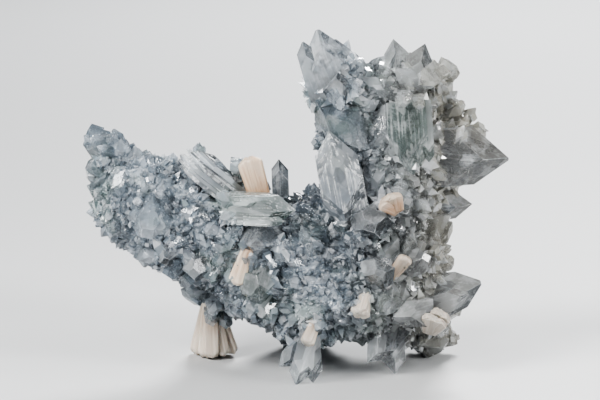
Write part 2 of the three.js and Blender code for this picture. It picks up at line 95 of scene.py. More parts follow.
druse_body = merged_copy("druse_matrix", "druse_body")
remesh = druse_body.modifiers.new("remesh", "REMESH")
remesh.mode = "VOXEL"
remesh.voxel_size = BODY_VOXEL
soften = druse_body.modifiers.new("soften", "SMOOTH")
soften.factor = 0.6
soften.iterations = BODY_SOFTENING
inset = druse_body.modifiers.new("inset", "DISPLACE")
inset.mid_level = 0.0
inset.strength = -BODY_INSET
grit = bpy.data.textures.new("druse_grit", "CLOUDS")
grit.noise_scale = BODY_GRIT
grit.noise_depth = 3
relief = druse_body.modifiers.new("relief", "DISPLACE")
relief.texture = grit
relief.texture_coords = "LOCAL"
relief.strength = BODY_RELIEF
relief.mid_level = 0.6
apply_modifiers(druse_body)


def set_values(node, **values):
    """Sets a shader node's properties, and its inputs by name with _ for a space."""
    for key, value in values.items():
        if hasattr(node, key):
            setattr(node, key, value)
        else:
            node.inputs[key.replace("_", " ")].default_value = value


def add_node(tree, kind, **values):
    """Adds a shader node with these values."""
    node = tree.nodes.new(kind)
    set_values(node, **values)
    return node


def add_mix(tree, factor, first, second):
    """Mixes two colours, each a socket or a plain colour, and returns the result's socket."""
    node = tree.nodes.new("ShaderNodeMix")
    node.data_type = "RGBA"
    sockets = {0: factor, 6: first, 7: second}
    for number, value in sockets.items():
        if isinstance(value, bpy.types.NodeSocket):
            tree.links.new(value, node.inputs[number])
        else:
            node.inputs[number].default_value = value
    return node.outputs[2]


def add_range(tree, value, low, high, to_low=0.0, to_high=1.0):
    """Maps a socket's range low to high onto another, clamped, and returns the result's socket."""
    node = add_node(tree, "ShaderNodeMapRange", From_Min=low, From_Max=high, To_Min=to_low, To_Max=to_high)
    tree.links.new(value, node.inputs["Value"])
    return node.outputs["Result"]


def add_texture(tree, kind, **values):
    """A texture node, such as Noise, that reads the place on the object in metres."""
    node = add_node(tree, "ShaderNodeTex" + kind, **values)
    tree.links.new(tree.nodes.new("ShaderNodeTexCoord").outputs["Object"], node.inputs["Vector"])
    return node


def add_attribute(tree, name, output="Fac"):
    """A value that the mesh carries, as a socket."""
    return add_node(tree, "ShaderNodeAttribute", attribute_name=name).outputs[output]


def add_grain_texture(tree, kind, stretch, **values):
    """A texture node that reads the mesh's own grain, drawn out along it by a stretch below one."""
    mapping = add_node(tree, "ShaderNodeMapping", Scale=(1.0, 1.0, stretch))
    texture = add_node(tree, "ShaderNodeTex" + kind, **values)
    tree.links.new(add_attribute(tree, "grain", "Vector"), mapping.inputs["Vector"])
    tree.links.new(mapping.outputs["Vector"], texture.inputs["Vector"])
    return texture


def add_bump(tree, shader, height, strength, distance):
    """Roughens a shader's normal by a height."""
    bump = add_node(tree, "ShaderNodeBump", Strength=strength, Distance=distance)
    tree.links.new(height, bump.inputs["Height"])
    tree.links.new(bump.outputs["Normal"], shader.inputs["Normal"])


def new_material(name):
    """A material whose Principled shader is ready; returns the material, its tree and the shader."""
    material = bpy.data.materials.new(name)
    material.use_nodes = True
    tree = material.node_tree
    return material, tree, tree.nodes["Principled BSDF"]


# Where the stone is grey-blue, green or clear: slow patches over the whole cluster, the clear and
# slightly brownish growth on its right side, and painted shade in the hollow between the arm and the tower.
# Cloud is the milkiness inside the crystals, mottle a random tone for each small patch, and sugar the grain
# of their faces.
PAINTED_SHADE_CENTRE = (12 * MM, -10 * MM, 50 * MM)  # painted shade: the growth is painted darker round here, in the hollow between the arm and the tower
PAINTED_SHADE_REACH = (8 * MM, 30 * MM)
RIGHT_SIDE = (14 * MM, 42 * MM)  # from the first x to the second, the growth turns clear
tint = bpy.data.node_groups.new("crystal_tint", "ShaderNodeTree")
for socket in ("Blue", "Green", "Clear"):
    tint.interface.new_socket(socket, in_out="INPUT", socket_type="NodeSocketColor")
tint.interface.new_socket("Color", in_out="OUTPUT", socket_type="NodeSocketColor")
for socket in ("Cloud", "Mottle", "Sugar"):
    tint.interface.new_socket(socket, in_out="OUTPUT", socket_type="NodeSocketFloat")
tint_in = tint.nodes.new("NodeGroupInput")
tint_out = tint.nodes.new("NodeGroupOutput")
where = tint.nodes.new("ShaderNodeTexCoord").outputs["Object"]
patches = add_texture(tint, "Noise", Scale=75.0, Detail=3.0, Roughness=0.6)
clouds = add_texture(tint, "Noise", Scale=300.0, Detail=4.0, Roughness=0.65)
mottle = add_texture(tint, "Voronoi", Scale=520.0)
grains = add_texture(tint, "Voronoi", distance="MANHATTAN", Scale=1500.0)
axes = tint.nodes.new("ShaderNodeSeparateXYZ")
tint.links.new(where, axes.inputs["Vector"])
from_shade_centre = add_node(tint, "ShaderNodeVectorMath", operation="DISTANCE")
from_shade_centre.inputs[1].default_value = PAINTED_SHADE_CENTRE
tint.links.new(where, from_shade_centre.inputs[0])
green_share = add_range(tint, patches.outputs["Fac"], 0.5, 0.66)
right_share = add_range(tint, axes.outputs["X"], *RIGHT_SIDE)
stone_colour = add_mix(tint, green_share, tint_in.outputs["Blue"], tint_in.outputs["Green"])
stone_colour = add_mix(tint, right_share, stone_colour, tint_in.outputs["Clear"])
# painted shade: darker towards the hollow's centre, between the arm and the tower
painted_shade_share = add_range(tint, from_shade_centre.outputs["Value"], *PAINTED_SHADE_REACH, 0.62, 0.0)
stone_colour = add_mix(tint, painted_shade_share, stone_colour, (0.17, 0.20, 0.24, 1))
tint.links.new(stone_colour, tint_out.inputs["Color"])
tint.links.new(clouds.outputs["Fac"], tint_out.inputs["Cloud"])
mottle_value = tint.nodes.new("ShaderNodeSeparateColor")
tint.links.new(mottle.outputs["Color"], mottle_value.inputs["Color"])
tint.links.new(mottle_value.outputs["Red"], tint_out.inputs["Mottle"])
tint.links.new(grains.outputs["Distance"], tint_out.inputs["Sugar"])


def add_tint(tree, blue, green, clear):
    """Places the tint group with this material's own three colours."""
    node = tree.nodes.new("ShaderNodeGroup")
    node.node_tree = tint
    for name, colour in (("Blue", blue), ("Green", green), ("Clear", clear)):
        node.inputs[name].default_value = (*colour, 1)
    return node


druse_stone, tree, shader = new_material("druse_stone")
stone = add_tint(tree, (0.32, 0.36, 0.40), (0.32, 0.38, 0.37), (0.50, 0.49, 0.46))
grains = add_texture(tree, "Noise", Scale=1500.0, Detail=3.0)
light_grains = add_range(tree, grains.outputs["Fac"], 0.45, 0.7)
body_colour = add_mix(tree, light_grains, stone.outputs["Color"], (0.62, 0.65, 0.68, 1))
tree.links.new(body_colour, shader.inputs["Base Color"])
set_values(shader, Roughness=0.45)
add_bump(tree, shader, grains.outputs["Fac"], 0.8, 0.4 * MM)
druse_body.data.materials.append(druse_stone)
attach(druse_body, "root")
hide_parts("druse_matrix")


# The crystals of the druse, from blocks of a centimetre down to sugar: each is an apophyllite, a square
# prism under a four-sided pyramid whose faces stand over the prism's edges. They grow out of the body
# at all angles and through each other, in steps of parallel neighbours.
PYRAMID_SLOPE = 1.25  # how far a pyramid face falls for each millimetre outwards along both widths
FACES = [
    (0, 1, 2, 3), (0, 4, 8, 5, 1), (1, 5, 9, 6, 2), (2, 6, 10, 7, 3), (3, 7, 11, 4, 0),
    (4, 11, 15, 12, 8), (5, 8, 12, 13, 9), (6, 9, 13, 14, 10), (7, 10, 14, 15, 11), (15, 14, 13, 12),
]
RISE = [1.0] * 4 + [0.75] * 4 + [0.6] * 4 + [0.0] * 4  # how far up each of the sixteen corners is
FACET_CONTRAST = 0.28  # how far the faces of one crystal differ in tone


def unit(rows):
    """Rows scaled to length one."""
    return rows / np.linalg.norm(rows, axis=1, keepdims=True)


def first_across(along):
    """For each axis a direction square to it, from which a crystal's turn is counted."""
    helper = np.where(np.abs(along[:, 2:]) < 0.9, [[0.0, 0.0, 1.0]], [[1.0, 0.0, 0.0]])
    return unit(np.cross(helper, along))


def crystal_corners(tips, along, turn, wide, deep, long, blunt):
    """Sixteen corners for each crystal, as an array (crystals, 16, 3).

    With the apex at zero and z along the axis, a pyramid face lies where z falls by the slope times x
    plus y. So the flat end at depth b is a diamond of half width b over the slope, the faces meet a
    prism side's middle at the slope times its half width, and a prism edge at the sum of the two.
    """
    half_wide, half_deep = wide / 2, deep / 2
    end = blunt / PYRAMID_SLOPE
    zero = np.zeros_like(wide)
    mid_wide, mid_deep = -PYRAMID_SLOPE * half_wide, -PYRAMID_SLOPE * half_deep
    low = mid_wide + mid_deep
    prism_x = [half_wide, -half_wide, -half_wide, half_wide] * 2
    prism_y = [half_deep, half_deep, -half_deep, -half_deep] * 2
    x = [end, zero, -end, zero, half_wide, zero, -half_wide, zero] + prism_x
    y = [zero, end, zero, -end, zero, half_deep, zero, -half_deep] + prism_y
    z = [-blunt] * 4 + [mid_wide, mid_deep] * 2 + [low] * 4 + [-long] * 4
    first = first_across(along)
    second = np.cross(along, first)
    across = first * np.cos(turn)[:, None] + second * np.sin(turn)[:, None]
    down = np.cross(along, across)
    local = np.stack([np.stack(part, 1) for part in (x, y, z)], 2)
    corners = tips[:, None] + local[..., :1] * across[:, None]
    corners = corners + local[..., 1:2] * down[:, None]
    return corners + local[..., 2:] * along[:, None]


def joined_mesh(name, corners, faces, rise, tones, random):
    """One mesh from many copies of a form: corners (copies, n, 3), its faces, and each copy's tone.

    A face's tone is its crystal's, moved a little at random, because every face of a clear crystal
    sends other light on. Rise is how far up the crystal each corner of the form is, from 0 to 1.
    """
    copies, count = corners.shape[:2]
    mesh = bpy.data.meshes.new(name)
    mesh.vertices.add(copies * count)
    mesh.vertices.foreach_set("co", corners.astype(np.float32).ravel())
    flat = np.concatenate([np.array(face) for face in faces])
    sizes = np.tile([len(face) for face in faces], copies)
    loops = (flat[None] + count * np.arange(copies)[:, None]).ravel()
    mesh.loops.add(len(loops))
    mesh.loops.foreach_set("vertex_index", loops.astype(np.int32))
    mesh.polygons.add(len(sizes))
    mesh.polygons.foreach_set("loop_start", np.concatenate([[0], np.cumsum(sizes)[:-1]]).astype(np.int32))
    mesh.update(calc_edges=True)
    mesh.shade_flat()
    facet_tones = np.repeat(tones, len(faces)) + FACET_CONTRAST * random.normal(size=len(sizes))
    store(mesh, "tone", facet_tones.clip(0, 1), "FACE")
    store(mesh, "rise", np.tile(rise, copies))
    return new_object(name, mesh)


def spots_on(mesh, count, random):
    """Random points spread evenly over a mesh, with the normals of the triangles that they lie on."""
    mesh.calc_loop_triangles()
    triangles = np.empty(len(mesh.loop_triangles) * 3, np.int32)
    mesh.loop_triangles.foreach_get("vertices", triangles)
    corners = read(mesh.vertices, "co", 3)[triangles.reshape(-1, 3)]
    areas = read(mesh.loop_triangles, "area")
    chosen = random.choice(len(areas), count, p=areas / areas.sum())
    first, second = random.random((2, count, 1))
    beyond = first + second > 1
    first, second = np.where(beyond, 1 - first, first), np.where(beyond, 1 - second, second)
    start, middle, end = corners[chosen].transpose(1, 0, 2)
    points = start + first * (middle - start) + second * (end - start)
    return points, read(mesh.loop_triangles, "normal", 3)[chosen]


# the clear crystals and the blades, as one surface to keep the druse out of
large_names = [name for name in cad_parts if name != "druse_matrix"]
large_corners = []
large_faces = []
for name in large_names:
    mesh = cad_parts[name].data
    offset = len(large_corners)
    large_corners.extend(read(mesh.vertices, "co", 3).tolist())
    large_faces.extend([[offset + corner for corner in face.vertices] for face in mesh.polygons])
large_surface = BVHTree.FromPolygons(large_corners, large_faces)


def outside_large(points, margin):
    """Which points are further than a margin outside every clear crystal and blade."""
    keep = []
    for point in points:
        nearest, normal, _, distance = large_surface.find_nearest(Vector(point))
        inside = (Vector(point) - nearest).dot(normal) < 0
        keep.append(not inside and distance > margin)
    return np.array(keep)


def broad_normals(points, normals, mesh, reach):
    """The body's outward direction round each point, averaged over the faces within reach."""
    centres = read(mesh.polygons, "center", 3)
    face_normals = read(mesh.polygons, "normal", 3)
    tree = kdtree.KDTree(len(centres))
    for number, centre in enumerate(centres):
        tree.insert(centre, number)
    tree.balance()
    broad = [face_normals[[hit[1] for hit in tree.find_range(point, reach)]].sum(0) for point in points]
    return unit(np.array(broad) + 0.01 * normals)


def spaced(points, gaps):
    """Which points to keep so that none is nearer to an earlier one than the gap that it wants."""
    kept = []
    for number, point in enumerate(points):
        near = points[kept] if kept else np.full((1, 3), 1e9)
        if np.min(np.sum((near - point) ** 2, 1)) > gaps[number] ** 2:
            kept.append(number)
    return np.array(kept)


COARSE_START = 5 * MM  # the druse is fine up to this x, and coarsens over the span after it
COARSE_SPAN = 30 * MM


def coarseness(points):
    """From 0 on the arm, where the druse is fine, to 1 at the right side, where it is coarse."""
    return np.clip((points[:, 0] - COARSE_START) / COARSE_SPAN, 0, 1)


BLOCK_TRIES = 8000
BLOCK_GAP = 0.79  # the least distance between blocks, as a share of the smaller one's width
BLOCK_WIDTH = (1.9 * MM, 4.5 * MM)
COARSE_WIDTH = (2.6 * MM, 7.4 * MM)  # at the right side, where the druse is coarse
BLOCK_CLEARANCE = 0.6 * MM
FULL_HEIGHT_WIDTH = 4.2 * MM  # blocks wider than this stand out no further than one of this width
BROAD_REACH = 3 * MM  # a block points out from the body's average surface within this distance
TWINS = 2  # parallel neighbours of each block
BLUNT_SHARES = (0.03, 0.14, 0.36)  # how deep the flat end cuts the pyramid, as a share of the width
BLUNT_ODDS = (0.72, 0.22, 0.06)
APOPHYLLITE_IOR = 1.536


def grown_crystals(points, outward, wide, lean, stands_out, random):
    """Crystals of given widths at points, leaning from the outward way, as crystal_corners takes them."""
    count = len(points)
    along = unit(outward + lean * random.normal(size=(count, 3)))
    deep = wide * random.uniform(0.7, 1.0, count)
    blunt = wide * random.choice(BLUNT_SHARES, count, p=BLUNT_ODDS)
    tips = points + along * (wide * stands_out + blunt)[:, None]
    long = wide * (1.1 + stands_out) + blunt
    turn = random.uniform(0, math.pi, count)
    return tips, along, turn, wide, deep, long, blunt


# The camera looks down a little from in front. A crystal that the photograph shows is placed along the
# ray through its pixel, where that meets what carries it.
CAMERA_TILT = math.radians(11)
CAMERA_DISTANCE = 0.7
VIEW_CENTRE = np.array([1.16 * MM, -4.4 * MM, 50.15 * MM])
PIXEL = 0.2948 * MM
PICTURE_SIZE = (600, 400)
VIEW_RIGHT = np.array([1.0, 0.0, 0.0])
VIEW_UP = np.array([0.0, math.sin(CAMERA_TILT), math.cos(CAMERA_TILT)])
VIEWER = VIEW_CENTRE + CAMERA_DISTANCE * np.array([0, -math.cos(CAMERA_TILT), math.sin(CAMERA_TILT)])
# tip x and y, root x and y, how much it faces the viewer, its width in pixels, and its tone
PLACED = np.array([
    (362, 148, 342, 116, 0.5, 42, 0.15), (306, 123, 320, 131, 0.4, 15, 0.8),
    (307, 140, 322, 134, 0.4, 13, 0.7), (385, 105, 383, 138, 0.35, 32, 0.55),
    (361, 92, 352, 83, 0.4, 8, 1.0), (341, 110, 335, 96, 0.4, 12, 0.9), (361, 43, 360, 62, 0.2, 19, 0.1),
    (388, 48, 376, 60, 0.2, 12, 0.6), (396, 70, 414, 84, 0.5, 22, 0.9), (425, 98, 426, 96, 0.9, 23, 0.8),
    (440, 56, 433, 80, 0.3, 14, 0.9), (453, 77, 440, 92, 0.3, 16, 0.8), (464, 89, 450, 100, 0.3, 14, 0.9),
    (465, 105, 450, 115, 0.4, 16, 0.6), (479, 110, 466, 122, 0.2, 12, 0.3),
    (470, 119, 455, 120, 0.5, 14, 0.7), (446, 180, 427, 167, 0.5, 17, 0.6),
    (431, 211, 413, 200, 0.5, 14, 1.0), (452, 220, 424, 238, 0.5, 30, 0.35),
    (454, 245, 440, 250, 0.3, 9, 0.6), (456, 254, 442, 257, 0.3, 9, 0.5), (447, 284, 436, 279, 0.4, 9, 1.0),
    (427, 293, 428, 291, 0.9, 17, 0.4), (427, 357, 430, 344, 0.3, 11, 0.7),
    (450, 353, 445, 339, 0.3, 9, 0.7), (461, 345, 452, 334, 0.3, 10, 0.7),
    (299, 303, 294, 295, 0.5, 8, 1.0), (297, 314, 324, 307, 0.4, 13, 0.9),
    (341, 303, 328, 281, 0.4, 9, 0.9), (277, 272, 270, 260, 0.5, 12, 0.8),
    (80, 135, 97, 150, 0.4, 14, 0.75), (104, 121, 105, 134, 0.2, 9, 0.8),
    (118, 125, 127, 152, 0.3, 19, 0.5), (139, 135, 140, 154, 0.3, 14, 0.9),
    (165, 143, 166, 156, 0.2, 9, 0.7), (158, 148, 157, 160, 0.3, 9, 0.6),
    (120, 152, 120, 149, 0.85, 15, 0.85), (107, 171, 97, 185, 0.3, 10, 0.9),
    (95, 147, 96, 145, 0.8, 24, 0.2), (88, 172, 89, 170, 0.7, 20, 0.5), (124, 171, 112, 203, 0.4, 17, 0.5),
    (143, 180, 144, 193, 0.3, 9, 0.9), (153, 192, 168, 206, 0.4, 14, 0.95),
    (164, 187, 166, 185, 0.8, 16, 0.5), (193, 192, 193, 190, 0.8, 9, 0.9),
    (149, 228, 151, 220, 0.8, 33, 0.4), (99, 243, 102, 240, 0.6, 14, 0.6), (77, 188, 89, 192, 0.2, 10, 0.7),
    (81, 202, 92, 206, 0.2, 9, 0.7), (91, 228, 102, 230, 0.2, 9, 0.7), (160, 260, 146, 252, 0.5, 18, 0.8),
    (186, 259, 184, 254, 0.8, 16, 0.8), (404, 103, 405, 99, 0.8, 14, 0.7),
    (419, 106, 418, 101, 0.7, 12, 0.6), (433, 105, 432, 100, 0.7, 14, 0.8),
    (441, 121, 436, 134, 0.4, 14, 0.7), (453, 119, 448, 133, 0.4, 14, 0.5),
    (464, 125, 458, 138, 0.4, 13, 0.7), (398, 239, 384, 256, 0.6, 24, 0.7),
    (412, 230, 406, 256, 0.5, 16, 0.3), (200, 140, 198, 158, 0.3, 12, 0.3),
    (217, 158, 220, 172, 0.3, 11, 0.6), (206, 246, 197, 238, 0.6, 16, 0.5),
    (330, 352, 318, 336, 0.5, 15, 0.6), (288, 262, 280, 250, 0.6, 15, 0.6),
    (243, 322, 232, 312, 0.6, 14, 0.7), (258, 330, 262, 318, 0.6, 18, 0.7),
    (244, 346, 236, 334, 0.3, 12, 0.3), (262, 343, 248, 336, 0.4, 14, 0.8),
    (181, 289, 196, 299, 0.5, 12, 0.8), (184, 304, 200, 307, 0.5, 13, 0.9),
    (197, 321, 203, 306, 0.7, 12, 1.0), (212, 324, 213, 308, 0.75, 15, 0.8),
    (226, 327, 223, 312, 0.7, 12, 1.0), (237, 325, 230, 310, 0.6, 14, 0.9),
    (217, 193, 228, 201, 0.5, 12, 0.8), (215, 206, 227, 208, 0.6, 13, 0.7),
    (220, 219, 230, 214, 0.6, 11, 0.9),
])


def placed_crystals(rows, surface, random):
    """Crystals from rows of pixels, as crystal_corners takes them, and the points that carry them.

    A pixel's ray meets the surface at the middle between tip and root. The axis is the picture's
    direction from root to tip, turned towards the viewer by the given share.
    """
    tip_side, root_side = rows[:, 0:2], rows[:, 2:4]
    facing, wide, tone = rows[:, 4], rows[:, 5] * PIXEL, rows[:, 6]
    middle = (tip_side + root_side) / 2 - np.array(PICTURE_SIZE) / 2
    on_plane = VIEW_CENTRE + PIXEL * (middle[:, :1] * VIEW_RIGHT - middle[:, 1:] * VIEW_UP)
    rays = unit(on_plane - VIEWER)
    hits = []
    for start, ray in zip(on_plane, rays):
        hit = surface.ray_cast(Vector(VIEWER), Vector(ray))[0]
        hits.append(np.array(hit) if hit else np.array(surface.find_nearest(Vector(start))[0]))
    hits = np.array(hits)
    step = (tip_side - root_side) * PIXEL
    reach = np.linalg.norm(step, axis=1)
    in_plane = unit(step[:, :1] * VIEW_RIGHT - step[:, 1:] * VIEW_UP)
    along = unit(in_plane * np.sqrt(1 - facing ** 2)[:, None] - rays * facing[:, None])
    full = np.maximum(reach / np.sqrt(1 - facing ** 2), 1.0 * wide)
    blunt = wide * np.where(facing > 0.6, 0.3, 0.08)
    tips = hits - rays * (0.12 * wide)[:, None] + along * (0.5 * full + blunt)[:, None]
    turn = random.uniform(0, math.pi, len(rows))
    deep = wide * random.uniform(0.75, 0.95, len(rows))
    return (tips, along, turn, wide, deep, full + 0.5 * wide, blunt), hits


random = np.random.default_rng(11)
body_corners = read(druse_body.data.vertices, "co", 3).tolist()
body_faces = [list(face.vertices) for face in druse_body.data.polygons]
druse_surface = BVHTree.FromPolygons(body_corners, body_faces)
moved_faces = [[len(large_corners) + corner for corner in face] for face in body_faces]
carriers = BVHTree.FromPolygons(large_corners + body_corners, large_faces + moved_faces)
placed, placed_at = placed_crystals(PLACED, carriers, random)
points, normals = spots_on(druse_body.data, BLOCK_TRIES, random)
coarse = coarseness(points)
least = BLOCK_WIDTH[0] + (COARSE_WIDTH[0] - BLOCK_WIDTH[0]) * coarse
greatest = BLOCK_WIDTH[1] + (COARSE_WIDTH[1] - BLOCK_WIDTH[1]) * coarse
sizes = least + (greatest - least) * random.random(BLOCK_TRIES) ** 2.4
order = np.argsort(-sizes)
points, normals, sizes = points[order], normals[order], sizes[order]
keep = outside_large(points, BLOCK_CLEARANCE)
points, normals, sizes = points[keep], normals[keep], sizes[keep]
taken = len(placed_at)
gaps = np.concatenate([np.zeros(taken), BLOCK_GAP * sizes])
keep = spaced(np.concatenate([placed_at, points]), gaps)[taken:] - taken
points, normals, sizes = points[keep], normals[keep], sizes[keep]
outward = broad_normals(points, normals, druse_body.data, BROAD_REACH)
stands_out = random.uniform(0.45, 0.95, len(sizes)) * np.minimum(1, FULL_HEIGHT_WIDTH / sizes)
scattered = grown_crystals(points, outward, sizes, 0.4, stands_out, random)
block = [np.concatenate(pair) for pair in zip(placed, scattered)]
sizes = block[3]
tone = np.concatenate([PLACED[:, 6], random.random(len(sizes) - taken)])
parts = [crystal_corners(*block)]
tones = [tone]
for _ in range(TWINS):
    tips, along, turn, wide, deep, long, blunt = block
    share = random.uniform(0.35, 0.7, len(wide))
    aside = random.normal(size=(len(wide), 3))
    aside = unit(aside - along * np.sum(aside * along, 1, keepdims=True))
    moved = tips + aside * (wide * random.uniform(0.25, 0.5, len(wide)))[:, None]
    moved -= along * (wide * random.uniform(0.1, 0.7, len(wide)))[:, None]
    twin_along = unit(along + 0.08 * random.normal(size=along.shape))
    smaller = (wide * share, deep * share, long * 0.8, blunt * share)
    parts.append(crystal_corners(moved, twin_along, turn, *smaller))
    tones.append(np.clip(tone + 0.1 * random.normal(size=len(tone)), 0, 1))
block_corners = np.concatenate(parts)
block_tones = np.concatenate(tones)
on_table = block_corners[..., 2].min(1) > 0
block_corners, block_tones = block_corners[on_table], block_tones[on_table]
druse_blocks = joined_mesh("druse_blocks", block_corners, FACES, RISE, block_tones, random)

ROOT_REACH = {
    "top_left_crystals": 7 * MM, "right_point_crystal": 4 * MM, "tall_double_crystal": 1.0 * MM,
    "horizontal_crystal": 4 * MM, "tower_window_crystal": 2.5 * MM, "stilbite_orange_knot": 5 * MM,
    "stilbite_cream_knot": 4 * MM, "stilbite_small_fan": 3 * MM, "stilbite_foot_blade": 3 * MM,
}
ROOT_SPACING = 1.2 * MM
ROOT_WIDTH = (0.7 * MM, 2.6 * MM)


def root_spots(random):
    """Points on the sides of the large pieces, dense next to the druse and none beyond their reach."""
    chosen_points = []
    chosen_normals = []
    for name in large_names:
        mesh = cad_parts[name].data
        reach = ROOT_REACH.get(name, 2.0 * MM)
        area = read(mesh.polygons, "area").sum()
        points, normals = spots_on(mesh, int(area / ROOT_SPACING ** 2), random)
        away = np.array([druse_surface.find_nearest(Vector(point))[3] for point in points])
        keep = random.random(len(points)) > (away - 0.8 * MM) / reach
        chosen_points.append(points[keep])
        chosen_normals.append(normals[keep])
    return np.concatenate(chosen_points), np.concatenate(chosen_normals)


SMALL_COUNT = 12000
SMALL_WIDTH = (0.7 * MM, 1.9 * MM)
points, normals = spots_on(druse_body.data, SMALL_COUNT, random)
sizes = SMALL_WIDTH[0] + (SMALL_WIDTH[1] - SMALL_WIDTH[0]) * random.random(SMALL_COUNT) ** 2.2
sizes *= 1 + 0.5 * coarseness(points)
keep = outside_large(points, 0) & (random.random(SMALL_COUNT) > 0.55 * coarseness(points))
points, normals, sizes = points[keep], normals[keep], sizes[keep]
root_points, root_normals = root_spots(random)
root_sizes = ROOT_WIDTH[0] + (ROOT_WIDTH[1] - ROOT_WIDTH[0]) * random.random(len(root_points)) ** 2
points = np.concatenate([points, root_points])
normals = np.concatenate([normals, root_normals])
sizes = np.concatenate([sizes, root_sizes])
small = grown_crystals(points, normals, sizes, 0.5, random.uniform(0.7, 1.6, len(sizes)), random)
# a small crystal is simpler: an apex, the prism's edges and no flat end
small_corners = np.concatenate([small[0][:, None], crystal_corners(*small)[:, 8:]], 1)
small_corners = small_corners[small_corners[..., 2].min(1) > 0]
SMALL_FACES = [
    (0, 1, 2), (0, 2, 3), (0, 3, 4), (0, 4, 1),
    (1, 5, 6, 2), (2, 6, 7, 3), (3, 7, 8, 4), (4, 8, 5, 1), (8, 7, 6, 5),
]
SMALL_RISE = [1.0] + [0.5] * 4 + [0.0] * 4
tones = random.random(len(small_corners))
druse_small = joined_mesh("druse_small_crystals", small_corners, SMALL_FACES, SMALL_RISE, tones, random)

# sugar: grains on the faces of the blocks, in patches
GRAIN_COUNT = 60000
GRAIN_WIDTH = (0.3 * MM, 0.75 * MM)
GRAIN_FACES = [(0, 1, 4), (1, 2, 4), (2, 3, 4), (3, 0, 4), (3, 2, 1, 0)]
GRAIN_RISE = [0.4] * 4 + [1.0]
points, normals = spots_on(druse_blocks.data, GRAIN_COUNT, random)
patch = np.sin(points @ [310.0, 190.0, -240.0]) + np.sin(points @ [-170.0, 330.0, 280.0] + 2.0)
keep = random.random(len(points)) < np.clip(0.36 - 0.4 * patch - 0.4 * coarseness(points), 0.02, 1)
points, normals = points[keep], normals[keep]
keep = outside_large(points, 0.2 * MM)
points, normals = points[keep], normals[keep]
count = len(points)
along = unit(normals + 0.45 * random.normal(size=(count, 3)))
wide = GRAIN_WIDTH[0] + (GRAIN_WIDTH[1] - GRAIN_WIDTH[0]) * random.random(count) ** 1.6
first = unit(np.cross(along, random.normal(size=(count, 3))))
second = np.cross(along, first)
root = along * (0.35 * wide)[:, None]
grain_corners = [points + side * (wide / 2)[:, None] - root for side in (first, second, -first, -second)]
grain_corners = np.stack(grain_corners + [points + along * (0.6 * wide)[:, None]], 1)
tones = random.random(count) ** 0.45
druse_sugar = joined_mesh("druse_sugar", grain_corners, GRAIN_FACES, GRAIN_RISE, tones, random)


def add_shades(tree, stone, dark, light_from, light_share, light):
    """The stone's colour, darker where the mesh's tone is low and lighter where it is high; the tone is
    partly painted light and shade.
    """
    tone = add_attribute(tree, "tone")
    shaded = add_mix(tree, add_range(tree, tone, 0.0, 0.5, 1.0, 0.0), stone.outputs["Color"], dark)
    return add_mix(tree, add_range(tree, tone, light_from, 1.0, 0.0, light_share), shaded, light)


def make_clear(tree, shader, clearness, share):
    """Makes a shader clear apophyllite, whose shadow lets this share of a lamp's direct light through."""
    set_values(shader, Transmission_Weight=clearness, IOR=APOPHYLLITE_IOR)
    shadow = tree.nodes.new("ShaderNodeLightPath").outputs["Is Shadow Ray"]
    tree.links.new(add_range(tree, shadow, 0.0, 1.0, 1.0, 1 - share), shader.inputs["Alpha"])


block_crystal, tree, shader = new_material("block_crystal")
stone = add_tint(tree, (0.56, 0.63, 0.69), (0.55, 0.64, 0.63), (0.72, 0.71, 0.65))
dark = add_tint(tree, (0.32, 0.37, 0.42), (0.31, 0.38, 0.38), (0.52, 0.51, 0.47)).outputs["Color"]
pale = add_shades(tree, stone, dark, 0.5, 0.75, (0.88, 0.92, 0.96, 1))
milkiness = add_range(tree, stone.outputs["Mottle"], 0.6, 1.0, 0.0, 0.45)
milky = add_mix(tree, milkiness, pale, (0.92, 0.96, 1.0, 1))
dusky = add_mix(tree, add_range(tree, stone.outputs["Mottle"], 0.0, 0.45, 0.5, 0.0), milky, dark)
# painted shade: darker towards each crystal's root, where the crystals crowd in on each other
rise = add_attribute(tree, "rise")
painted_root_shade = add_mix(tree, add_range(tree, rise, 0.15, 0.72, 0.75, 0.0), dusky, dark)
# painted highlight: paler towards each crystal's tip
painted_tip_light = add_mix(tree, add_range(tree, rise, 0.8, 1.0, 0.0, 0.4), painted_root_shade, (0.97, 0.98, 1.0, 1))
tree.links.new(painted_tip_light, shader.inputs["Base Color"])
tree.links.new(add_range(tree, stone.outputs["Cloud"], 0.4, 0.7, 0.02, 0.2), shader.inputs["Roughness"])
make_clear(tree, shader, 0.68, 0.5)
add_bump(tree, shader, stone.outputs["Sugar"], 0.25, 0.15 * MM)
druse_blocks.data.materials.append(block_crystal)

sugar_crystal, tree, shader = new_material("sugar_crystal")
stone = add_tint(tree, (0.55, 0.62, 0.68), (0.54, 0.63, 0.62), (0.72, 0.71, 0.65))
dark = add_tint(tree, (0.34, 0.39, 0.44), (0.33, 0.40, 0.40), (0.53, 0.52, 0.48)).outputs["Color"]
pale = add_shades(tree, stone, dark, 0.5, 1.0, (0.95, 0.97, 1.0, 1))
rise = add_attribute(tree, "rise")
# painted highlight: paler towards the tip of each grain and small crystal
painted_tip_light = add_mix(tree, add_range(tree, rise, 0.7, 1.0, 0.0, 0.7), pale, (0.98, 0.99, 1.0, 1))
tree.links.new(painted_tip_light, shader.inputs["Base Color"])
set_values(shader, Roughness=0.06)
make_clear(tree, shader, 0.55, 0.45)
for piece in (druse_small, druse_sugar):
    piece.data.materials.append(sugar_crystal)

for piece in (druse_blocks, druse_small, druse_sugar):
    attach(piece, "root")


# The large clear crystals: colourless to faintly green apophyllite, glassy, with fine grooves along
# the prism and slightly worn edges, lighter in patches that are partly chips and partly painted highlight.
# Each grows out of the druse and keeps the form of its solid.
EDGE_WEAR = 0.16 * MM
EDGE_FACE = 1.9 * MM * MM  # the faces that the edge wear makes are smaller than this
CRYSTALS = [name for name in large_names if not name.startswith("stilbite")]


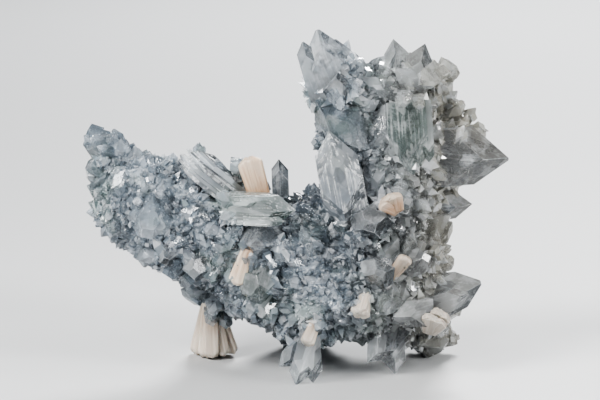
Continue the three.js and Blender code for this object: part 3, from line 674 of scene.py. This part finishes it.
def long_axis(mesh):
    """The way a prism runs: the direction that its faces' normals avoid most, weighted by area."""
    normals = read(mesh.polygons, "normal", 3)
    areas = read(mesh.polygons, "area")
    values, vectors = np.linalg.eigh((normals * areas[:, None]).T @ normals)
    return vectors[:, 0]


def give_grain(mesh, axis):
    """Stores each corner's place across, across again and along an axis, as a vector attribute."""
    helper = np.array([0.0, 1.0, 0.0]) if abs(axis[1]) < 0.9 else np.array([0.0, 0.0, 1.0])
    across = np.cross(helper, axis)
    across /= np.linalg.norm(across)
    turned = np.stack([across, np.cross(axis, across), axis], 1)
    store(mesh, "grain", read(mesh.vertices, "co", 3) @ turned)


def clear_material(name, colours, dark, absorbed, strength, streaks, line_scale, clearness):
    """Clear apophyllite: plain transmission, faces of different light, and white streaks along it."""
    material, tree, shader = new_material(name)
    lines = add_grain_texture(tree, "Noise", 0.035, Scale=line_scale, Detail=3.0)
    clouds = add_texture(tree, "Noise", Scale=170.0, Detail=5.0, Roughness=0.7)
    stone = add_tint(tree, *colours)
    pale = add_shades(tree, stone, (*dark, 1), 0.55, 0.6, (0.92, 0.95, 0.97, 1))
    where_streaked = add_range(tree, clouds.outputs["Fac"], 0.4, 0.54, 0.0, streaks)
    streak = add_node(tree, "ShaderNodeMath", operation="MULTIPLY")
    tree.links.new(add_range(tree, lines.outputs["Fac"], 0.52, 0.57), streak.inputs[0])
    tree.links.new(where_streaked, streak.inputs[1])
    streaked = add_mix(tree, streak.outputs["Value"], pale, (0.98, 0.99, 1.0, 1))
    milkiness = add_range(tree, clouds.outputs["Fac"], 0.52, 0.66, 0.0, 0.5)
    milky = add_mix(tree, milkiness, streaked, (0.92, 0.95, 0.97, 1))
    shards = add_grain_texture(tree, "Voronoi", 0.4, Scale=330.0)
    shard = tree.nodes.new("ShaderNodeSeparateColor")
    tree.links.new(shards.outputs["Color"], shard.inputs["Color"])
    dull = add_mix(tree, add_range(tree, shard.outputs["Red"], 0.0, 0.4, 0.45, 0.0), milky, (*dark, 1))
    brightness = add_range(tree, shard.outputs["Red"], 0.75, 1.0, 0.0, 0.35)
    bright = add_mix(tree, brightness, dull, (0.97, 0.99, 1.0, 1))
    tree.links.new(bright, shader.inputs["Base Color"])
    tree.links.new(add_range(tree, streak.outputs["Value"], 0.0, 1.0, 0.0, 0.4), shader.inputs["Roughness"])
    add_bump(tree, shader, lines.outputs["Fac"], 0.03 + 0.12 * streaks, 0.1 * MM)
    make_clear(tree, shader, clearness, 0.65)
    absorption = add_node(tree, "ShaderNodeVolumeAbsorption", Color=(*absorbed, 1), Density=strength)
    tree.links.new(absorption.outputs["Volume"], tree.nodes["Material Output"].inputs["Volume"])
    return material


PAINTED_LIGHT_SIDE = np.array([-0.72, -0.35, 0.6])  # painted light: faces turned this way are painted lightest, as if lit from this side
random = np.random.default_rng(3)
COLOURLESS = ((0.31, 0.34, 0.37), (0.31, 0.35, 0.35), (0.40, 0.40, 0.39))
GREENISH = ((0.25, 0.30, 0.30), (0.24, 0.30, 0.29), (0.26, 0.30, 0.29))
BRIGHTER = ((0.56, 0.60, 0.64), (0.56, 0.61, 0.61), (0.56, 0.56, 0.56))
HAZY = ((0.44, 0.50, 0.49), (0.42, 0.50, 0.48), (0.46, 0.50, 0.48))
GREY_DARK = (0.16, 0.175, 0.19)
GREEN_DARK = (0.14, 0.18, 0.17)
GREY_ABSORBED = (0.72, 0.75, 0.77)
GREEN_ABSORBED = (0.62, 0.70, 0.67)
# for each look its three colours by place, its dark, what it absorbs and how much, how strong and how
# fine its streaks are, and how clear it is
LOOKS = {
    "clear_crystal": (COLOURLESS, GREY_DARK, GREY_ABSORBED, 35.0, 0.3, 1500.0, 0.62),
    "bright_crystal": (BRIGHTER, GREY_DARK, GREY_ABSORBED, 20.0, 0.5, 1500.0, 0.62),
    "green_crystal": (GREENISH, GREEN_DARK, GREEN_ABSORBED, 40.0, 0.45, 1500.0, 0.62),
    "hazy_crystal": (HAZY, GREEN_DARK, GREEN_ABSORBED, 15.0, 0.7, 1500.0, 0.55),
    "grooved_crystal": (BRIGHTER, GREY_DARK, GREY_ABSORBED, 15.0, 1.0, 1000.0, 0.5),
    "plated_crystal": (BRIGHTER, GREY_DARK, GREY_ABSORBED, 20.0, 1.0, 650.0, 0.5),
}
looks = {name: clear_material(name, *values) for name, values in LOOKS.items()}
# the edge faces, lighter in patches: partly chips and partly painted highlight along the worn edges
edge_wear_and_painted_highlight, tree, shader = new_material("edge_wear_and_painted_highlight")
chip_and_highlight_noise = add_texture(tree, "Noise", Scale=450.0, Detail=3.0)
chip_and_highlight_share = add_range(tree, chip_and_highlight_noise.outputs["Fac"], 0.45, 0.6)
edge_colour = add_mix(tree, chip_and_highlight_share, (0.50, 0.54, 0.57, 1), (0.93, 0.95, 0.97, 1))
tree.links.new(edge_colour, shader.inputs["Base Color"])
set_values(shader, Roughness=0.18, Transmission_Weight=0.6, IOR=APOPHYLLITE_IOR)

ROW_SHIFT = np.array([-0.769, -4.375, 0.0])  # from the rows' own origin to the frame's, in mm
# thinner neighbours with a crystal's own axis: that axis, the way their thickness runs, and for each its
# tip, width, thickness, length and flat end, all in mm
PARALLEL_GROWTH = {
    "tall_double_crystal": ((-5.6, 0, 30), (0, -1, 0), [
        (17, -9.8, 64, 4.6, 5, 15, 0.3), (18.2, -9, 58.5, 4, 4, 11, 0.3)]),
    "lower_right_crystal": ((0.9, -0.2, 0.36), (0, -1, 0), [(51.5, -11.4, 24.6, 6, 3.6, 15, 0.4)]),
    "tower_window_crystal": ((0.06, -0.34, -0.9), (0, -1, 0), [
        (39.2, -12.6, 63.6, 3.4, 5, 18, 0.2), (31, -13.2, 64.8, 3.6, 4.6, 16, 0.2)]),
    "horizontal_crystal": ((0.95, -0.32, 0.02), (0, 0, 1), [
        (-4.6, -12.6, 52.6, 5, 3.2, 12, 0.2), (-2.5, -15.6, 46.9, 4.6, 2.8, 12, 0.2),
        (-9, -14.2, 52.4, 4.4, 2.2, 8, 0.2)]),
    "arm_striated_crystals": ((-0.72, -0.2, 0.62), (0.652, 0, 0.757), [
        (-33.2, -5.1, 61.6, 8, 1.3, 14, 0.1), (-33.5, -5.4, 63.4, 8.8, 1, 17, 0.1),
        (-33.2, -5.6, 64.9, 8.3, 1.6, 20, 0.1), (-30.5, -5.3, 64.4, 8.9, 0.8, 13, 0.1),
        (-31.2, -5.5, 66.4, 8.2, 1.2, 18, 0.1), (-27.8, -5, 65.4, 8.6, 1.5, 13, 0.1)]),
}


def add_parallel_growth(piece, axis, thin_way, rows):
    """Adds thinner neighbours to a large crystal's mesh.

    Their turn about the axis makes the thickness run as given: across is that way crossed with the
    axis, and the turn is its angle from the first direction across.
    """
    rows = np.array(rows)
    along = unit(np.tile(np.array(axis, float), (len(rows), 1)))
    first = first_across(along)
    across = unit(np.cross(np.array(thin_way, float), along))
    turn = np.arctan2(np.sum(across * np.cross(along, first), 1), np.sum(across * first, 1))
    wide, thick, long, blunt = rows[:, 3:].T * MM
    corners = read(piece.data.vertices, "co", 3).tolist()
    faces = [list(face.vertices) for face in piece.data.polygons]
    for crystal in crystal_corners((rows[:, :3] + ROW_SHIFT) * MM, along, turn, wide, thick, long, blunt):
        faces.extend([[len(corners) + corner for corner in face] for face in FACES])
        corners.extend(crystal.tolist())
    piece.data = bpy.data.meshes.new(piece.name)
    piece.data.from_pydata(corners, [], faces)


def dress_crystal(piece, look, spread, random):
    """Wears a crystal's edges, gives each face its tone and the mesh its grain, and adds the materials.

    A face's tone is painted light and shade: lighter the further the face turns to the lit side, and moved
    by chance by the given spread.
    """
    wear = piece.modifiers.new("wear", "BEVEL")
    wear.width = EDGE_WEAR
    wear.segments = 2
    wear.limit_method = "ANGLE"
    apply_modifiers(piece)
    piece.data.shade_flat()
    give_grain(piece.data, long_axis(piece.data))
    areas = read(piece.data.polygons, "area")
    # painted light and shade, from how far each face turns to one side
    lit = read(piece.data.polygons, "normal", 3) @ PAINTED_LIGHT_SIDE
    painted_facet_light = (0.38 + 0.55 * lit + spread * random.normal(size=len(areas))).clip(0, 1)
    store(piece.data, "tone", painted_facet_light, "FACE")
    piece.data.materials.append(looks[look])
    if look not in PLAIN_EDGED:
        piece.data.materials.append(edge_wear_and_painted_highlight)
        piece.data.polygons.foreach_set("material_index", (areas < EDGE_FACE).astype(np.int32))
    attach(piece, "root")


PLAIN_EDGED = ("green_crystal", "hazy_crystal")  # looks whose worn edges get no lighter patches, neither chips nor painted highlight
SPECIAL_LOOKS = {
    "tower_window_crystal": "green_crystal",
    "plate_crystals": "green_crystal",
    "horizontal_crystal": "hazy_crystal",
    "tall_double_crystal": "grooved_crystal",
    "arm_striated_crystals": "plated_crystal",
    "front_foot_crystals": "bright_crystal",
    "right_foot_crystals": "bright_crystal",
}
for name in CRYSTALS:
    look = SPECIAL_LOOKS.get(name, "clear_crystal")
    spread = 0.4 if look == "plated_crystal" else 0.22
    piece = merged_copy(name, "clear_" + name)
    flatten = piece.modifiers.new("flatten", "DECIMATE")
    flatten.decimate_type = "DISSOLVE"
    flatten.angle_limit = math.radians(1.5)
    apply_modifiers(piece)
    if name in PARALLEL_GROWTH:
        add_parallel_growth(piece, *PARALLEL_GROWTH[name])
    dress_crystal(piece, look, spread, random)
    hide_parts(name)


# The stilbite: peach blades in sheaves, silky, grooved along their length and paler towards their
# worn ends. They grow through and between the apophyllites.
FAN_PIVOT = 0.66  # the blades of a sheaf open about a point this share of its length below its tip
BLADE_SIDES = 36
BLADE_RINGS = 26
RING_SHARES = np.linspace(0, 1, BLADE_RINGS) ** 0.8  # how far up the blade each ring is
# each sheaf's tip, the way it points, its width, thickness and length in mm, its blades, its fan in
# degrees, how peach it is, from cream at 0, and how much painted shade darkens it
SHEAVES = {
    "stilbite_tall_blade": ((-13.6, -5, 64.5), (-0.3, -0.02, 1), 6.4, 4.0, 24, 4, 5, 1.0, 0.0),
    "stilbite_lower_blade": ((-17.2, -16.5, 27.8), (-0.36, -0.3, -0.9), 4.4, 3.4, 13, 3, 6, 0.7, 0.0),
    "stilbite_bow_tie": ((-24, 9, -0.6), (0.05, -0.12, -1), 6.0, 7.0, 27, 11, 34, 0.35, 0.1),
    "stilbite_small_fan": ((18.6, -21.5, 20.5), (-0.3, -0.75, -0.5), 3.8, 4.0, 9, 4, 28, 0.25, 0.2),
    "stilbite_foot_blade": ((3.6, -24, 12), (-0.34, -0.6, -0.72), 3.4, 3.0, 11, 4, 10, 0.4, 0.15),
    "stilbite_right_blade": ((33, -17.6, 37), (0.5, -0.42, 0.76), 3.1, 2.8, 15, 3, 6, 0.6, 0.3),
    "stilbite_orange_knot": ((26.6, -20.4, 55.2), (-0.45, -0.6, 0.66), 5.6, 4.4, 8, 6, 40, 0.85, 0.3),
    "stilbite_cream_knot": ((42.4, -17.4, 20.2), (0.3, -0.6, 0.74), 6.0, 4.8, 9, 6, 40, 0.2, 0.35),
    "stilbite_rear_sheaf": ((19, 33.5, 22), (0.1, 0.95, -0.2), 6.0, 5.0, 14, 10, 40, 0.8, 0.1),
}


def blade_corners(wide, thick, long, random):
    """A blade's rings of corners, tip ring last, as an array (rings, sides, 3), in its own axes.

    A section is a rounded slab: cosine and sine of the angle, each raised to the power 0.45 with its
    sign kept, times half the width and half the thickness. Grooves are sines of the angle that run
    along the blade and fade in and out; the end is a worn chisel, lower towards both its edges.
    """
    angle = np.linspace(0, 2 * math.pi, BLADE_SIDES, endpoint=False)[None, :]
    share = RING_SHARES[:, None]
    square = 0.45
    across = np.sign(np.cos(angle)) * np.abs(np.cos(angle)) ** square
    deep = np.sign(np.sin(angle)) * np.abs(np.sin(angle)) ** square
    groove = np.zeros((BLADE_RINGS, BLADE_SIDES))
    for waves in (5, 8, 13):
        fade = np.sin(share * random.uniform(1, 4) + random.uniform(0, 6))
        groove += 0.35 * np.sin(waves * angle + random.uniform(0, 6) + 0.5 * fade)
    closing = np.sqrt(np.clip(1 - ((share - 0.93) / 0.07).clip(0, 1) ** 2, 0, 1)) * 0.75 + 0.25
    flare = 0.96 + 0.04 * share
    x = wide / 2 * across * (0.55 + 0.45 * closing) * flare * (1 + 0.035 * groove)
    y = thick / 2 * deep * closing * flare * (1 + 0.09 * groove)
    worn = 0.10 * wide * np.sin(9 * across + random.uniform(0, 6)) * np.abs(across)
    low_edges = 0.28 * wide * np.abs(across) ** 1.6 + 0.3 * worn
    z = -long + share * (long - low_edges - 0.12 * wide * np.abs(deep) * share ** 8)
    return np.stack([x + 0 * z, y + 0 * z, z], 2)


def sheaf_mesh(name, tip, toward, wide, thick, long, blades, fan, warmth, painted_sheaf_shade, random):
    """A sheaf: blades side by side that fan out about a pivot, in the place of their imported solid."""
    along = np.array(toward, float) / np.linalg.norm(toward)
    reference = np.array([0.0, 0.0, 1.0]) if abs(along[1]) > 0.75 else np.array([0.0, 1.0, 0.0])
    across = np.cross(reference, along)
    across /= np.linalg.norm(across)
    basis = np.stack([across, np.cross(along, across), along])
    rings = []
    own_places = []
    for number in range(blades):
        side = number / (blades - 1) - 0.5
        layer = random.uniform(-0.5, 0.5)
        length = long * (1 - 0.12 * abs(side) - 0.1 * random.random() - 0.08 * abs(layer))
        narrow = wide * random.uniform(0.55, 0.8) if blades > 4 else wide * random.uniform(0.8, 0.95)
        thin = thick * random.uniform(0.34, 0.55) if blades > 4 else thick * random.uniform(0.66, 0.9)
        local = blade_corners(narrow, thin, length, random)
        own_places.append(local.reshape(-1, 3))
        turn = math.radians(fan * side + random.uniform(-2, 2))
        tilt = math.radians(0.35 * fan * layer)
        local = local + [0, 0, long * FAN_PIVOT]
        turned = np.stack([
            local[..., 0] * math.cos(turn) + local[..., 2] * math.sin(turn),
            local[..., 1],
            local[..., 2] * math.cos(turn) - local[..., 0] * math.sin(turn)], 2)
        turned = np.stack([
            turned[..., 0],
            turned[..., 1] * math.cos(tilt) + turned[..., 2] * math.sin(tilt),
            turned[..., 2] * math.cos(tilt) - turned[..., 1] * math.sin(tilt)], 2)
        turned += [(wide - narrow) * side * 0.9, layer * (thick - thin), -long * FAN_PIVOT]
        rings.append(turned)
    corners = (np.stack(rings).reshape(-1, 3) @ basis + np.array(tip) + ROW_SHIFT) * MM
    corners[:, 2] = corners[:, 2].clip(0)
    faces = []
    count = BLADE_RINGS * BLADE_SIDES
    ring = np.arange(BLADE_SIDES)
    after = (ring + 1) % BLADE_SIDES
    for number in range(blades):
        start = number * count
        for step in range(BLADE_RINGS - 1):
            low = start + step * BLADE_SIDES
            high = low + BLADE_SIDES
            faces.extend(np.stack([low + ring, low + after, high + after, high + ring], 1).tolist())
        faces.append((start + ring[::-1]).tolist())
        faces.append((start + count - BLADE_SIDES + ring).tolist())
    mesh = bpy.data.meshes.new(name)
    mesh.from_pydata(corners.tolist(), [], faces)
    store(mesh, "grain", np.concatenate(own_places) * MM)
    store(mesh, "tip_share", np.tile(np.repeat(RING_SHARES, BLADE_SIDES), blades))
    store(mesh, "warmth", np.full(len(corners), warmth))
    store(mesh, "painted_sheaf_shade", np.full(len(corners), painted_sheaf_shade))
    mesh.update()
    mesh.shade_smooth()
    return new_object(name, mesh)


peach_stilbite, tree, shader = new_material("peach_stilbite")
lines = add_grain_texture(tree, "Noise", 0.05, Scale=1400.0, Detail=4.0, Roughness=0.6)
clouds = add_texture(tree, "Noise", Scale=160.0, Detail=3.0)
lined = add_range(tree, lines.outputs["Fac"], 0.35, 0.62)
peach = add_mix(tree, lined, (0.58, 0.30, 0.15, 1), (0.83, 0.585, 0.41, 1))
clouded = add_range(tree, clouds.outputs["Fac"], 0.42, 0.62, 0.0, 0.4)
peach = add_mix(tree, clouded, peach, (0.80, 0.68, 0.56, 1))
tip_share = add_attribute(tree, "tip_share")
peach = add_mix(tree, add_range(tree, tip_share, 0.5, 1.0, 0.0, 0.6), peach, (0.82, 0.73, 0.64, 1))
warmth = add_attribute(tree, "warmth")
cream = add_mix(tree, lined, (0.60, 0.56, 0.50, 1), (0.82, 0.80, 0.75, 1))
warmed = add_mix(tree, warmth, cream, peach)
# painted shade: some sheaves are painted darker as a whole, each by its own share
painted_sheaf_shade = add_attribute(tree, "painted_sheaf_shade")
painted_sheaf_shaded = add_mix(tree, painted_sheaf_shade, warmed, (0.20, 0.18, 0.16, 1))
tree.links.new(painted_sheaf_shaded, shader.inputs["Base Color"])
set_values(shader, Roughness=0.34, Subsurface_Weight=0.2, Subsurface_Scale=1.0)
set_values(shader, Subsurface_Radius=(1.0 * MM, 0.6 * MM, 0.4 * MM))
add_bump(tree, shader, lines.outputs["Fac"], 0.6, 0.2 * MM)

random = np.random.default_rng(5)
for name, sheaf in SHEAVES.items():
    piece = sheaf_mesh("silky_" + name, *sheaf, random)
    piece.data.materials.append(peach_stilbite)
    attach(piece, "root")
    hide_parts(name)


# The room: a plain pale floor that fills the view, soft light from above left, weaker ones from the
# right and in front, a high one behind that draws the crystals' edges, and two small ones for glints.
FLOOR_REACH = 4.0
FLOOR_SIDES = 64
floor_mesh = bpy.data.meshes.new("floor")
angles = np.linspace(0, 2 * math.pi, FLOOR_SIDES, endpoint=False)
ring = [(FLOOR_REACH * math.cos(angle), FLOOR_REACH * math.sin(angle), 0.0) for angle in angles]
floor_mesh.from_pydata(ring, [], [list(range(FLOOR_SIDES))])
floor = new_object("floor", floor_mesh)
floor_paint, tree, shader = new_material("floor_paint")
set_values(shader, Base_Color=(0.62, 0.63, 0.64, 1), Roughness=0.6)
floor_mesh.materials.append(floor_paint)

world = bpy.data.worlds.new("studio")
world.use_nodes = True
set_values(world.node_tree.nodes["Background"], Color=(0.94, 0.97, 1.0, 1), Strength=0.12)
bpy.context.scene.world = world
bpy.context.scene.view_settings.look = "AgX - Very High Contrast"

MIDDLE = Vector((0, 0, 50 * MM))


def softbox(name, place, size, power, colour=(1, 1, 1)):
    """A square soft light that faces the middle of the cluster."""
    light = bpy.data.lights.new(name, "AREA")
    light.size = size
    light.energy = power
    light.color = colour
    lamp = new_object(name, light)
    lamp.location = place
    lamp.rotation_euler = (Vector(place) - MIDDLE).to_track_quat("Z", "Y").to_euler()


softbox("key", (-0.5, -0.34, 0.52), 0.3, 4.6, (1.0, 0.985, 0.96))
softbox("fill", (0.62, -0.33, 0.38), 0.2, 2.4, (1.0, 0.99, 0.97))
softbox("front", (-0.2, -0.6, 0.62), 0.08, 0.7)
softbox("low", (-0.6, -0.5, 0.12), 0.08, 0.2, (0.93, 0.97, 1.0))
softbox("right", (0.68, -0.08, 0.5), 0.2, 0.9)
softbox("left glint", (-0.38, -0.62, 0.3), 0.03, 0.16)
softbox("right glint", (0.3, -0.62, 0.5), 0.03, 0.16)
softbox("back", (0.3, 1.2, 0.9), 0.5, 17.0)


# The camera stands where the photograph was taken from.
SENSOR_WIDTH = 36
camera = bpy.data.cameras.new("camera")
camera.sensor_width = SENSOR_WIDTH
camera.lens = SENSOR_WIDTH * CAMERA_DISTANCE / (PICTURE_SIZE[0] * PIXEL)
camera.clip_start = 0.01
viewer = new_object("camera", camera)
viewer.location = VIEWER
viewer.rotation_euler = (math.pi / 2 - CAMERA_TILT, 0, 0)
bpy.context.scene.camera = viewer
